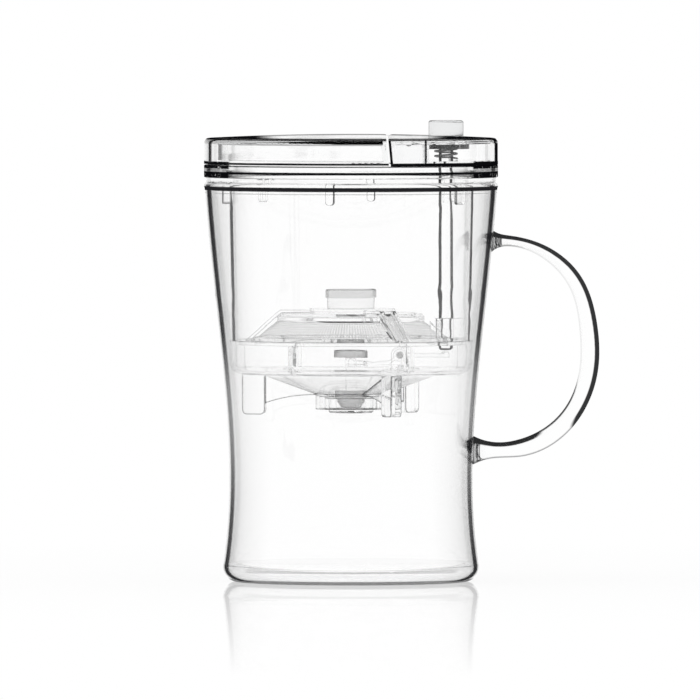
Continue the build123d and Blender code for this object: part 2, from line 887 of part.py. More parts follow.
with BuildPart() as filter_frame:
    with BuildSketch(Plane.XZ):
        with BuildLine():
            Polyline(
                (cone_base - filter_thickness, filter_z),
                (filter_flange, filter_z),
                (filter_flange, cone_z),
                (cone_base, cone_z),
                (cone_top, deck_z),
                (0, deck_z),
                (0, deck_z - filter_thickness),
                (cone_top - filter_thickness / 2, deck_z - filter_thickness),
                (cone_base - filter_thickness, cone_z),
                close=True,
            )
        make_face()
    revolve(axis=Axis.Z)
    with BuildSketch(Plane.XY.offset(cone_z)):
        Circle(window_outer)
        Circle(window_inner, mode=Mode.SUBTRACT)
        with PolarLocations(0, spoke_count, start_angle=spoke_turn):
            Rectangle(
                2 * cone_base, spoke_width, align=(Align.MIN, Align.CENTER), mode=Mode.SUBTRACT)
    extrude(amount=2 * cone_height, mode=Mode.SUBTRACT)
    with BuildSketch(Plane.XY.offset(cone_z)):
        Circle(deck_outer)
        Circle(hub_radius - rail_root, mode=Mode.SUBTRACT)
        with PolarLocations(0, spoke_count, start_angle=spoke_turn):
            Rectangle(
                2 * cone_base, spoke_width, align=(Align.MIN, Align.CENTER), mode=Mode.SUBTRACT)
    extrude(amount=2 * cone_height, mode=Mode.SUBTRACT)
    with BuildSketch(Plane.XY.offset(deck_z - rail_root)):
        Circle(hub_radius)
    extrude(amount=rail_root + hub_height)
    with BuildSketch(Plane.XY.offset(filter_z)):
        with Locations((notch_x, 0)):
            Rectangle(filter_flange, 2 * notch_half, align=(Align.MIN, Align.CENTER))
    extrude(amount=2 * cone_height, mode=Mode.SUBTRACT)
    add(notch_frame.part)
    add(spoke_rails.part)

filter_frame.part.label = "filter_frame"

with BuildPart() as filter_mesh:
    with BuildSketch(Plane.XZ):
        with BuildLine():
            mesh_drop = filter_thickness + bond_gap
            Polyline(
                (cone_base - mesh_drop, cone_z - filter_flange_thickness / 2),
                (cone_base - mesh_drop, cone_z),
                (cone_top - mesh_drop / 2, deck_z - mesh_drop),
                (0, deck_z - mesh_drop),
                (0, deck_z - mesh_drop - mesh_thickness),
                (cone_top - (mesh_drop + mesh_thickness) / 2, deck_z - mesh_drop - mesh_thickness),
                (cone_base - mesh_drop - mesh_thickness, cone_z),
                (cone_base - mesh_drop - mesh_thickness, cone_z - filter_flange_thickness / 2),
                close=True,
            )
        make_face()
    revolve(axis=Axis.Z)
    with BuildSketch(Plane.XY.offset(filter_z)):
        with Locations((notch_x - notch_wall - bond_gap, 0)):
            Rectangle(
                filter_flange,
                2 * (notch_half + notch_wall + bond_gap),
                align=(Align.MIN, Align.CENTER),
            )
    extrude(amount=2 * cone_height, mode=Mode.SUBTRACT)
filter_mesh.part.label = "filter_mesh"

with BuildPart() as filter_knob:
    with BuildSketch(Plane.XZ):
        with BuildLine():
            Polyline(
                (0, hub_top),
                (neck_radius, hub_top),
                (knob_radius - knob_edge, hub_top + neck_height),
                (knob_radius, hub_top + neck_height),
                (knob_radius, hub_top + neck_height + knob_height),
                (0, hub_top + neck_height + knob_height),
                close=True,
            )
        make_face()
        fillet(vertices().group_by(Axis.Y)[-1].sort_by(Axis.X)[-1:], knob_round)
    revolve(axis=Axis.Z)
filter_knob.part.label = "filter_knob"

# ---------------------------------------------------------------- motion and files

lever_turn = degrees(asin(button_travel / (button_x - pivot_x)))
valve_lift = pivot_x * sin(radians(lever_turn))
print(f"lever turns {lever_turn:.3f} degrees, valve lifts {valve_lift:.3f} mm")
print(f"hinge at {hinge_x:.2f}, {hinge_z:.2f}; pivot at {pivot_x:.2f}, {pivot_z:.2f}")

pieces = [
    mug_body, mug_handle, brewing_liner, collar_ring, lid_shell, lid_skirt, lid_gasket,
    button_housing, hinge_pin, housing_floor, button_cap, push_rod, button_spring, rod_guide,
    base_cup, outlet_ring, valve_plug, valve_stem, valve_head, valve_lever, lever_pin,
    filter_frame, filter_mesh, filter_knob,
]
for piece in pieces:
    export_step(piece.part, f"parts/{piece.part.label}.step")
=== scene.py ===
from math import cos, pi, radians, sin, tan
from types import SimpleNamespace

import bpy
import numpy as np
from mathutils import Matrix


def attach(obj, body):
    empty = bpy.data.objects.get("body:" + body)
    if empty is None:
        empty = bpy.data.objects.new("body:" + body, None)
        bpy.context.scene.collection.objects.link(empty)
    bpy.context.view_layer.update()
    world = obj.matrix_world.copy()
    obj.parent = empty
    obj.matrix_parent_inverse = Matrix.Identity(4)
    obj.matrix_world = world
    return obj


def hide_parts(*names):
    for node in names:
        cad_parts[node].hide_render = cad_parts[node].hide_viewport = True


bpy.ops.wm.read_factory_settings(use_empty=True)
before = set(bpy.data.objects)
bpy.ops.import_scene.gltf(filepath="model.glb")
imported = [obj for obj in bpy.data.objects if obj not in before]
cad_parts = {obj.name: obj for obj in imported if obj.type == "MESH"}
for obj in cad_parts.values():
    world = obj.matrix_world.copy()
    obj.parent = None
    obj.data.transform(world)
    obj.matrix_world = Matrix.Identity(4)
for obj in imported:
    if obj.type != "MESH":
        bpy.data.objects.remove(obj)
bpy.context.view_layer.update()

MM = 0.001


# ---------------------------------------------------------------- node helpers

def add_node(tree, kind, **values):
    """A new node of the tree, with some of its input sockets set by name."""
    node = tree.nodes.new(kind)
    for name, value in values.items():
        node.inputs[name.replace("_", " ")].default_value = value
    return node


def new_material(name):
    """An empty node material, its tree and its output node."""
    material = bpy.data.materials.new(name)
    material.use_nodes = True
    tree = material.node_tree
    tree.nodes.clear()
    return material, tree, tree.nodes.new("ShaderNodeOutputMaterial")


def feed(tree, value, socket):
    """Link a socket to an input, or set the input where the value is a number or a direction."""
    if isinstance(value, (int, float, tuple)):
        socket.default_value = value
    else:
        tree.links.new(value, socket)


def math_node(tree, operation, first, second=0.0):
    """A math node; each side is a socket or a number."""
    node = tree.nodes.new("ShaderNodeMath")
    node.operation = operation
    feed(tree, first, node.inputs[0])
    feed(tree, second, node.inputs[1])
    return node.outputs["Value"]


def vector_number(tree, operation, *vectors):
    """A number made from one or two vectors, each a socket or a direction."""
    node = tree.nodes.new("ShaderNodeVectorMath")
    node.operation = operation
    for vector, socket in zip(vectors, node.inputs):
        feed(tree, vector, socket)
    return node.outputs["Value"]


def product(tree, first, *others):
    """The product of sockets and numbers, from left to right."""
    for other in others:
        first = math_node(tree, "MULTIPLY", first, other)
    return first


def largest(tree, first, *others):
    """The largest of several masks."""
    for other in others:
        first = math_node(tree, "MAXIMUM", first, other)
    return first


def inverse(tree, mask):
    """0 where the mask is 1, and 1 where it is 0."""
    return math_node(tree, "SUBTRACT", 1.0, mask)


def grey_ramp(tree, value, stops):
    """A ramp that turns a value into a grey, from a list of (place, grey)."""
    ramp = tree.nodes.new("ShaderNodeValToRGB")
    ramp.color_ramp.interpolation = "LINEAR"
    points = ramp.color_ramp.elements
    while len(points) < len(stops):
        points.new(1.0)
    for point, (place, grey) in zip(points, stops):
        point.position = place
        point.color = (grey, grey, grey, 1)
    tree.links.new(value, ramp.inputs["Fac"])
    return ramp.outputs["Color"]


def facing_value(tree):
    """How nearly edge-on the surface is seen: 0 face-on, 1 edge-on."""
    return add_node(tree, "ShaderNodeLayerWeight", Blend=0.5).outputs["Facing"]


def facing_ramp(tree, stops):
    """A grey by how nearly edge-on the surface is seen."""
    return grey_ramp(tree, facing_value(tree), stops)


def object_place(tree):
    """The place in the object's own coordinates, in metres."""
    return tree.nodes.new("ShaderNodeTexCoord").outputs["Object"]


def noise(tree, place, scale, detail=2.0):
    """A noise over a place, from 0 to 1."""
    texture = add_node(tree, "ShaderNodeTexNoise", Scale=scale, Detail=detail)
    tree.links.new(place, texture.inputs["Vector"])
    return texture.outputs["Fac"]


def stretched_noise(tree, place, scales):
    """A noise with a scale of its own along each axis."""
    stretch = add_node(tree, "ShaderNodeMapping", Scale=scales)
    tree.links.new(place, stretch.inputs["Vector"])
    return noise(tree, stretch.outputs["Vector"], 1.0)


def principled(tree, colour, roughness, **values):
    """A Principled shader with its colour and roughness."""
    return add_node(tree, "ShaderNodeBsdfPrincipled", Base_Color=(*colour, 1), Roughness=roughness, **values)


def mix_shader(tree, fac, first, second):
    """A mix of two shaders by a socket."""
    mix = tree.nodes.new("ShaderNodeMixShader")
    tree.links.new(fac, mix.inputs["Fac"])
    tree.links.new(first, mix.inputs[1])
    tree.links.new(second, mix.inputs[2])
    return mix.outputs["Shader"]


def add_object(name, data):
    """A new object of the scene."""
    thing = bpy.data.objects.new(name, data)
    bpy.context.scene.collection.objects.link(thing)
    return thing


# ---------------------------------------------------------------- masks

CAP_TOP = 133.1         # height of the lid's upper edge, in millimetres
MUG_HEIGHT = 120        # in millimetres
OUTWARD_LEAST = -0.0001  # level faces count as looking away from the axis
LEVEL = (0.93, 0.985)   # how far up a normal points where a face begins to count as level, and where it does fully
EDGE_ON = (0.8, 0.9)    # the same for a face that is seen edge-on
SHARP = (0.995, 0.9)    # agreement of the true and the rounded normal: flat face, and full edge
BEVEL_SAMPLES = 6

# How softly the masks begin and end, in millimetres.
RING_SOFT = 0.12
REACH_SOFT = 0.2
SEAM_SOFT = 0.1
STRIP_SOFT = 0.15
END_SOFT = 0.8
FADE_SOFT = 0.5
FLOOR_SOFT = 0.4
FLOOR_RISE = 1.0

# Grains: the scale of each noise, and the two values between which it turns dark.
END_GRAIN, END_STEP = 700.0, (0.25, 0.42)
KNURL_GRAIN, KNURL_STEP, KNURL_RADIUS = (1200, 1200, 150), (0.3, 0.55), 5.0

# The domed top's painted shade: where x and y turn dark in millimetres, and the grain and darkness of its streaks
# of painted shade.
TOP_ENDS = (20, 29)
TOP_BACK, TOP_BACK_DARK = (-16, -6), 0.75
STREAK_GRAIN, STREAK_STEP, STREAK_DARK = (45, 420, 0), (0.52, 0.62), 0.45
TOP_UP = 0.5            # how far up a normal of the top points at least
TOP_DEPTH = 0.1         # how far below CAP_TOP it begins


def smooth_mask(tree, value, low, high):
    """Rises smoothly from 0 at low to 1 at high, or falls where low is the larger."""
    step = add_node(tree, "ShaderNodeMapRange", From_Min=min(low, high), From_Max=max(low, high))
    step.interpolation_type = "SMOOTHSTEP"
    if low > high:
        step.inputs["To Min"].default_value = 1.0
        step.inputs["To Max"].default_value = 0.0
    tree.links.new(value, step.inputs["Value"])
    return step.outputs["Result"]


def length_mask(tree, value, low, high):
    """A smooth mask of a length, with its limits in millimetres."""
    return smooth_mask(tree, value, low * MM, high * MM)


def place_values(tree):
    """What the masks are made from, as sockets, in metres.

    along, across and height are X, Y and Z, and reach is the distance from the mug's axis. place and normal are the
    object place and normal, up is the normal's Z, and outer is 1 where the surface looks away from the axis.
    """
    texture = tree.nodes.new("ShaderNodeTexCoord")
    place, normal = texture.outputs["Object"], texture.outputs["Normal"]
    parts = tree.nodes.new("ShaderNodeSeparateXYZ")
    tree.links.new(place, parts.inputs[0])
    normal_parts = tree.nodes.new("ShaderNodeSeparateXYZ")
    tree.links.new(normal, normal_parts.inputs[0])
    level = tree.nodes.new("ShaderNodeCombineXYZ")
    tree.links.new(parts.outputs["X"], level.inputs["X"])
    tree.links.new(parts.outputs["Y"], level.inputs["Y"])
    reach = vector_number(tree, "LENGTH", level.outputs[0])
    outward = vector_number(tree, "DOT_PRODUCT", level.outputs[0], normal)
    outer = math_node(tree, "GREATER_THAN", outward, OUTWARD_LEAST)
    return SimpleNamespace(along=parts.outputs["X"], across=parts.outputs["Y"], height=parts.outputs["Z"],
                           reach=reach, place=place, normal=normal, up=normal_parts.outputs["Z"], outer=outer)


def blend_factor(tree, mask, weak):
    """1 where the mask is 1, falling to weak where it is 0."""
    return math_node(tree, "ADD", product(tree, mask, 1.0 - weak), weak)


def shade_side(tree, normal, towards, weak, start, full):
    """1 where the surface looks towards a direction, falling to weak where it looks away: the side that takes
    painted shade.
    """
    agreement = vector_number(tree, "DOT_PRODUCT", normal, towards)
    return blend_factor(tree, smooth_mask(tree, agreement, start, full), weak)


def edge_mask(tree, radius):
    """1 along the sharp edges of a moulded part, where its small edge radius would be; there the part gets painted
    shade for the dark line that such an edge bends into view.
    """
    rounded = add_node(tree, "ShaderNodeBevel", Radius=radius * MM)
    rounded.samples = BEVEL_SAMPLES
    true_side = tree.nodes.new("ShaderNodeNewGeometry")
    agreement = vector_number(tree, "DOT_PRODUCT", rounded.outputs["Normal"], true_side.outputs["Normal"])
    return smooth_mask(tree, agreement, *SHARP)


def band_mask(tree, value, low, high, soft):
    """1 between two lengths in millimetres."""
    rise = length_mask(tree, value, low - soft, low + soft)
    fall = length_mask(tree, value, high + soft, high - soft)
    return product(tree, rise, fall)


def ring_mask(tree, at, radius, low, high):
    """1 on a band round the mug's axis, outside a radius and between two heights."""
    out = length_mask(tree, at.reach, radius - REACH_SOFT, radius + REACH_SOFT)
    return product(tree, band_mask(tree, at.height, low, high, RING_SOFT), out)


def strip_mask(tree, at, left, right, low, high):
    """1 between two places along X and between two heights."""
    near = band_mask(tree, at.along, left, right, STRIP_SOFT)
    return product(tree, near, ring_mask(tree, at, 0.0, low, high))


def seam_mask(tree, at, x_top, lean, half_width, radius):
    """1 on the outer wall along a line that starts at x_top on the lid's edge and leans down towards the handle."""
    run = product(tree, math_node(tree, "SUBTRACT", CAP_TOP * MM, at.height), lean)
    offset = math_node(tree, "SUBTRACT", math_node(tree, "SUBTRACT", at.along, run), x_top * MM)
    near = length_mask(tree, math_node(tree, "ABSOLUTE", offset), half_width + SEAM_SOFT, half_width - SEAM_SOFT)
    return product(tree, near, length_mask(tree, at.reach, radius - REACH_SOFT, radius))


def end_mask(tree, at, centre, start, low, high):
    """1 between two heights where x is further than start from a centre, broken up by a fine grain."""
    off = math_node(tree, "ABSOLUTE", math_node(tree, "SUBTRACT", at.along, centre * MM))
    far = length_mask(tree, off, start, start + END_SOFT)
    broken = smooth_mask(tree, noise(tree, at.place, END_GRAIN), *END_STEP)
    return product(tree, far, broken, ring_mask(tree, at, 0.0, low, high))


def top_shade_mask(tree, at):
    """Painted shade on the domed top: dark to both ends, with a dark back edge and faint streaks in the middle."""
    ends = length_mask(tree, math_node(tree, "ABSOLUTE", at.along), *TOP_ENDS)
    shade_streaks = smooth_mask(tree, stretched_noise(tree, at.place, STREAK_GRAIN), *STREAK_STEP)
    back_edge = length_mask(tree, at.across, *TOP_BACK)
    look = largest(tree, ends, product(tree, shade_streaks, STREAK_DARK), product(tree, back_edge, TOP_BACK_DARK))
    return product(tree, look, math_node(tree, "GREATER_THAN", at.up, TOP_UP),
                   math_node(tree, "GREATER_THAN", at.height, (CAP_TOP - TOP_DEPTH) * MM))


# ---------------------------------------------------------------- clear materials

GLASS_IOR, PLASTIC_IOR, SILICONE_IOR = 1.5, 1.49, 1.41
# The side towards the handle can take painted shade of its own, for light that falls unevenly on the two sides.
TO_HANDLE = (1, 0, 0)
HANDLE_STEP = (-0.2, 0.2)        # where a surface begins to look to the handle, and where it does fully
BODY_TONE = (1, 1, 1)
ABSORBED = (0.5, 0.53, 0.54, 1)
OUTER_GLOSS = 0.2
EDGE_ROUGHNESS = 0.5
RIPPLE_SCALE, RIPPLE_DETAIL, RIPPLE_DEPTH = 60.0, 1.0, 0.001
ONE_SCATTER = 0.5       # light below this count of matt bounces hasn't been scattered

# What a clear material can have besides its body, its edge's ramp and the tone of its painted shade. Lengths are in
# millimetres, and darkness, the share of painted shade, runs from 0 to 1. A ramp is a list of (facing, darkness).
PLAIN = {
    "density": 2.0,       # how fast the body takes light
    "roughness": 0.0,
    "ripple": 0.0,        # strength of the waves in the surface
    "right": None,        # a ramp of painted shade of its own for the side towards the handle, where light falls differently
    "by_height": None,    # a ramp over the mug's height that the darkness is multiplied by
    "sided": None,        # the one side that has the edge's painted shade, the side that darker surroundings face: direction, start, full
    "inner": 1.0,         # factor for surfaces that look to the axis
    "back": 0.5,          # factor for surfaces met from within
    "lines": (),          # further ramps of painted shade for one side each: ramp, direction, weakest, start, full
    "flat_clear": True,   # level faces stay clear
    "clear_floor": None,  # a floor that stays clear: radius, height
    "edges": None,        # painted shade along sharp edges: width, darkness
    "fade": None,         # above a height the darkness falls: height, factor
    "hatch": None,        # a knurled band, the look of its grooves as painted shade: bottom, top, darkness
    "strips": (),         # upright bands of painted shade: x from, x to, bottom, top, darkness
    "ends": (),           # dark ends of painted shade: centre, distance from it, bottom, top, darkness
    "rings": (),          # lines of painted shade round the axis: radius from, bottom, top, darkness
    "seams": (),          # lines of painted shade down the outer wall at the seams: x at the top, lean, half width, radius from, darkness
    "top": False,         # the painted shade of the domed top
}


def edge_darkness(tree, at, ramp, look):
    """How much painted shade the surface has by the angle that it is seen at, by its side and by its place."""
    darkness = facing_ramp(tree, ramp)
    # Painted shade of its own on the side towards the handle.
    if look.right:
        to_handle = shade_side(tree, at.normal, TO_HANDLE, 0.0, *HANDLE_STEP)
        left_part = product(tree, darkness, inverse(tree, to_handle))
        right_part = product(tree, facing_ramp(tree, look.right), to_handle)
        darkness = math_node(tree, "ADD", left_part, right_part)
    if look.by_height:
        share = math_node(tree, "DIVIDE", at.height, MUG_HEIGHT * MM)
        darkness = product(tree, darkness, grey_ramp(tree, share, look.by_height))
    # Painted shade on one side only, as darker surroundings on that side would give.
    if look.sided:
        towards, start, full = look.sided
        darkness = product(tree, darkness, shade_side(tree, at.normal, towards, 0.0, start, full))
    darkness = product(tree, darkness, blend_factor(tree, at.outer, look.inner))
    # Further lines of painted shade, each on one side.
    for line_ramp, towards, weak, start, full in look.lines:
        line = product(tree, facing_ramp(tree, line_ramp), shade_side(tree, at.normal, towards, weak, start, full))
        darkness = largest(tree, darkness, line)
    if look.flat_clear:
        level = smooth_mask(tree, math_node(tree, "ABSOLUTE", at.up), *LEVEL)
        darkness = product(tree, darkness, inverse(tree, level))
    if look.clear_floor:
        radius, height = look.clear_floor
        out = length_mask(tree, at.reach, radius - FLOOR_SOFT, radius)
        above = length_mask(tree, at.height, height, height + FLOOR_RISE)
        darkness = product(tree, darkness, largest(tree, out, above))
    if look.edges:
        width, amount = look.edges
        darkness = largest(tree, darkness, product(tree, edge_mask(tree, width), amount))
    if look.fade:
        height, factor = look.fade
        below = length_mask(tree, at.height, height + FADE_SOFT, height - FADE_SOFT)
        darkness = product(tree, darkness, blend_factor(tree, below, factor))
    return darkness


def add_marks(tree, at, darkness, inside, look):
    """The darkness with more painted shade drawn over it: the knurl, the strips, the bands, seams, dark ends and
    the domed top.

    All but the knurl and the strips show only from outside, and on level faces only where those are seen edge-on.
    """
    if look.hatch:
        low, high, amount = look.hatch
        knurl = smooth_mask(tree, stretched_noise(tree, at.place, KNURL_GRAIN), *KNURL_STEP)
        band = ring_mask(tree, at, KNURL_RADIUS, low, high)
        darkness = largest(tree, darkness, product(tree, knurl, amount, band))
    for *place, amount in look.strips:
        darkness = largest(tree, darkness, product(tree, strip_mask(tree, at, *place), amount))
    sloped = inverse(tree, smooth_mask(tree, at.up, *LEVEL))
    edge_on = smooth_mask(tree, facing_value(tree), *EDGE_ON)
    shown = product(tree, at.outer, inverse(tree, inside), largest(tree, sloped, edge_on))
    for mask, rows in ((end_mask, look.ends), (ring_mask, look.rings), (seam_mask, look.seams)):
        for *place, amount in rows:
            darkness = largest(tree, darkness, product(tree, mask(tree, at, *place), amount, shown))
    if look.top:
        darkness = largest(tree, darkness, product(tree, top_shade_mask(tree, at), shown))
    return darkness


def clear_material(name, ior, ramp, shade_tone, **changes):
    """Clear glass or plastic with painted shade at its edges.

    The body bends light and takes a little of it on the way through. Its outer gloss is weak, and it reflects fully
    on the inside. Seen nearly edge-on, it goes over to a dark tone by the ramp: painted shade that stands in for
    the dark surroundings that the polished edges of clear things bend into view in front of white. Light that a
    matt piece inside has scattered passes freely. changes are values for the names in PLAIN.
    """
    assert changes.keys() <= PLAIN.keys()
    look = SimpleNamespace(**{**PLAIN, **changes})
    material, tree, output = new_material(name)
    at = place_values(tree)
    body = principled(tree, BODY_TONE, look.roughness, Transmission_Weight=1.0, IOR=ior)
    # The dark matt shader is the painted shade that the edge ramps mix in.
    painted_edge = principled(tree, shade_tone, EDGE_ROUGHNESS, Specular_IOR_Level=0.0)
    if look.ripple:
        bump = add_node(tree, "ShaderNodeBump", Strength=look.ripple, Distance=RIPPLE_DEPTH)
        tree.links.new(noise(tree, at.place, RIPPLE_SCALE, RIPPLE_DETAIL), bump.inputs["Height"])
        tree.links.new(bump.outputs["Normal"], body.inputs["Normal"])
    inside = tree.nodes.new("ShaderNodeNewGeometry").outputs["Backfacing"]
    gloss = grey_ramp(tree, inside, [(0.0, OUTER_GLOSS), (1.0, 1.0)])
    tree.links.new(gloss, body.inputs["Specular Tint"])
    darkness = edge_darkness(tree, at, ramp, look)
    darkness = product(tree, darkness, inverse(tree, product(tree, inside, 1.0 - look.back)))
    darkness = add_marks(tree, at, darkness, inside, look)
    scatters = tree.nodes.new("ShaderNodeLightPath").outputs["Diffuse Depth"]
    unscattered = math_node(tree, "LESS_THAN", scatters, ONE_SCATTER)
    surface = mix_shader(tree, product(tree, darkness, unscattered), body.outputs["BSDF"], painted_edge.outputs["BSDF"])
    tree.links.new(surface, output.inputs["Surface"])
    absorb = add_node(tree, "ShaderNodeVolumeAbsorption", Color=ABSORBED, Density=look.density)
    tree.links.new(absorb.outputs["Volume"], output.inputs["Volume"])
    return material


# ---------------------------------------------------------------- other materials

SILICONE_TONE, SILICONE_ROUGHNESS, SILICONE_GLOSS, SILICONE_CLEAR = (0.95, 0.95, 0.95), 0.45, 0.3, 0.85
BLOOM_GRAIN, BLOOM_DETAIL = 900.0, 3.0
BLOOM_TONES = [(0.3, 0.9), (0.7, 0.98)]

THREAD_TONE, THREAD_ROUGHNESS, THREAD_CLEAR = (0.85, 0.85, 0.85), 0.4, 0.6
# Tone and cover of the cloth, from the threads (0) to the middle of a cell (1).
CELL_TONES = [(0.0, 0.95), (1.0, 0.6)]
CELL_COVER = [(0.0, 0.05), (0.4, 0.2), (1.0, 0.6)]

STEEL_TONE, STEEL_ROUGHNESS, STEEL_GRAIN = (0.5, 0.5, 0.5), 0.25, 2500.0
STEEL_STEP = (0.35, 0.65)
STEEL_GLOSS = [(0.3, 0.18), (0.7, 0.34)]
PIN_TONES, SPRING_TONES = (0.45, 0.6), (0.08, 0.16)


def milky_silicone():
    """Soft translucent rubber with a faint bloom."""
    material, tree, output = new_material("milky_silicone")
    rubber = principled(tree, SILICONE_TONE, SILICONE_ROUGHNESS, Specular_IOR_Level=SILICONE_GLOSS,
                        Transmission_Weight=SILICONE_CLEAR)
    bloom = noise(tree, object_place(tree), BLOOM_GRAIN, BLOOM_DETAIL)
    tree.links.new(grey_ramp(tree, bloom, BLOOM_TONES), rubber.inputs["Base Color"])
    tree.links.new(rubber.outputs["BSDF"], output.inputs["Surface"])
    return material


def woven_mesh():
    """A fine pale cloth that is darker and more solid in the cells of its weave."""
    material, tree, output = new_material("woven_mesh")
    holes = tree.nodes.new("ShaderNodeAttribute")
    holes.attribute_name = "hole"
    depth = holes.outputs["Fac"]
    thread = principled(tree, THREAD_TONE, THREAD_ROUGHNESS, Transmission_Weight=THREAD_CLEAR)
    tree.links.new(grey_ramp(tree, depth, CELL_TONES), thread.inputs["Base Color"])
    tree.links.new(grey_ramp(tree, depth, CELL_COVER), thread.inputs["Alpha"])
    tree.links.new(thread.outputs["BSDF"], output.inputs["Surface"])
    return material


def drawn_steel(name, tones):
    """Drawn wire: a fine grain in its tone, between a darker and a lighter one, and in its gloss."""
    material, tree, output = new_material(name)
    grain = noise(tree, object_place(tree), STEEL_GRAIN)
    metal = principled(tree, STEEL_TONE, STEEL_ROUGHNESS, Metallic=1.0)
    tree.links.new(grey_ramp(tree, grain, list(zip(STEEL_STEP, tones))), metal.inputs["Base Color"])
    tree.links.new(grey_ramp(tree, grain, STEEL_GLOSS), metal.inputs["Roughness"])
    tree.links.new(metal.outputs["BSDF"], output.inputs["Surface"])
    return material


# ---------------------------------------------------------------- the looks of the pieces

# Tones of the painted shade on the clear pieces' edges and marks.
BLACK = (0.004, 0.004, 0.005)
EDGE_SHADE = (0.018, 0.018, 0.02)
ARM_EDGE_SHADE = (0.04, 0.041, 0.042)
GREY = (0.05, 0.052, 0.055)

# Edge ramps of painted shade: the facing value of a wall's dark line sets how far in from the outline it runs.
WALL = [(0.25, 0.0), (0.38, 0.05), (0.48, 0.1), (0.55, 0.15), (0.63, 0.22), (0.69, 0.4), (0.72, 0.97),
        (0.81, 1.0), (0.84, 0.6), (0.88, 0.15), (0.95, 0.0)]
CAP = [(0.45, 0.0), (0.62, 0.04), (0.675, 0.1), (0.69, 0.9), (0.74, 1.0), (0.76, 0.35), (0.84, 0.12), (0.94, 0.0)]
CAP_RIGHT = [(0.6, 0.0), (0.77, 0.1), (0.795, 1.0), (0.93, 1.0), (0.95, 0.0)]
COLLAR = [(0.35, 0.0), (0.52, 0.35), (0.68, 0.6), (0.72, 0.95), (0.8, 0.9), (0.84, 0.3), (0.95, 0.1)]
THIN = [(0.45, 0.0), (0.66, 0.05), (0.74, 0.15), (0.762, 1.0), (0.865, 1.0), (0.885, 0.4), (0.95, 0.0)]
THIN_RIGHT = [(0.6, 0.0), (0.8, 0.15), (0.825, 1.0), (1.0, 1.0)]
ROD = [(0.18, 0.0), (0.24, 1.0), (1.0, 1.0)]
ARM = [(0.14, 0.0), (0.2, 1.0), (1.0, 1.0)]
ARM_LINE = [(0.45, 0.0), (0.62, 0.6), (0.9, 0.6), (1.0, 0.4)]
ARM_INNER = [(0.4, 0.0), (0.52, 0.95), (1.0, 0.95)]
SOFT = [(0.35, 0.0), (0.55, 0.06), (0.72, 0.2), (0.78, 0.9), (0.86, 0.9), (0.92, 0.3), (1.0, 0.05)]
FAINT = [(0.5, 0.0), (0.75, 0.12), (0.85, 0.3), (0.92, 0.3), (0.97, 0.05)]
KNOB = [(0.0, 0.05), (0.3, 0.08), (0.6, 0.12), (0.75, 0.22), (0.9, 0.5), (1.0, 0.3)]
SEAL = [(0.6, 0.0), (0.8, 0.15), (1.0, 0.05)]

# The strength of the wall's painted shade from the foot, over the waist, to the rim.
GLASS_HEIGHT = [(0.0, 1.0), (0.1, 0.96), (0.2, 0.92), (0.33, 0.8), (0.42, 0.74), (0.5, 0.78), (0.62, 0.97),
                (1.0, 1.0)]

# Marks of painted shade, with their numbers in the order that PLAIN gives.
END_START = 36.0        # x from which the ends of the lid and the collar have painted shade
MUG_FLOOR = (36.3, 4.5)
GLASS_LINES = [(33.2, -1, 1.1, 0.72), (43.4, 117.5, 118.75, 1.0), (42.0, 116.6, 116.9, 0.4)]
# The handle's painted shade by side: its edges are dark where they look up and to the right, towards darker
# surroundings, and along the lower arm's upper inner edge.
ARM_SIDE = ((0.77, 0, 0.64), 0.1, 0.18)
ARM_LINES = [(ARM_LINE, (1, 0, -0.3), 0.25, -0.2, 0.3), (ARM_INNER, (-0.64, 0, 0.77), 0.0, 0.72, 0.86)]
PAD_STRIPS = [(43.3, 43.8, 97, 105.5, 0.9), (44.3, 44.9, 97.5, 103.5, 0.8), (37.6, 38.1, 35, 44.5, 0.75)]
LID_LINES = [(38.0, 132.7, 135, 1.0), (42.0, 124, 126.0, 1.0)]
LID_ENDS = [(0, END_START, 125.0, 126.3, 1.0)]
SKIRT_LINES = [(39.6, 131.2, 131.6, 0.6), (39.6, 126.4, 126.75, 0.3)]
HOUSING_ENDS = [(0, END_START, 124.6, 126.3, 1.0)]
HOUSING_SEAMS = [(11.45, tan(radians(5.5)), 0.4, 42.3, 1.0), (22.3, 0.0, 0.33, 42.3, 0.95)]
COLLAR_LINES = [(43.5, 122.5, 123.25, 1.0), (43.5, 124.75, 126, 0.9)]
COLLAR_ENDS = [(0, END_START, 121.3, 122.9, 1.0), (0, END_START, 124.1, 125.2, 1.0),
               (0, END_START, 122.9, 124.1, 0.6)]
KNOB_LINES = [(0, 85.3, 88, 0.3)]
KNOB_ENDS = [(0, 6.0, 85.2, 88, 0.5)]
BUTTON_KNURL = (129.5, 131.4, 0.9)
BUTTON_ENDS = [(28.5, 5.2, 133.8, 138.6, 0.8)]


def dress(material, *names):
    """Give nodes of the frame their material."""
    for name in names:
        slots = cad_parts[name].data.materials
        slots.clear()
        slots.append(material)


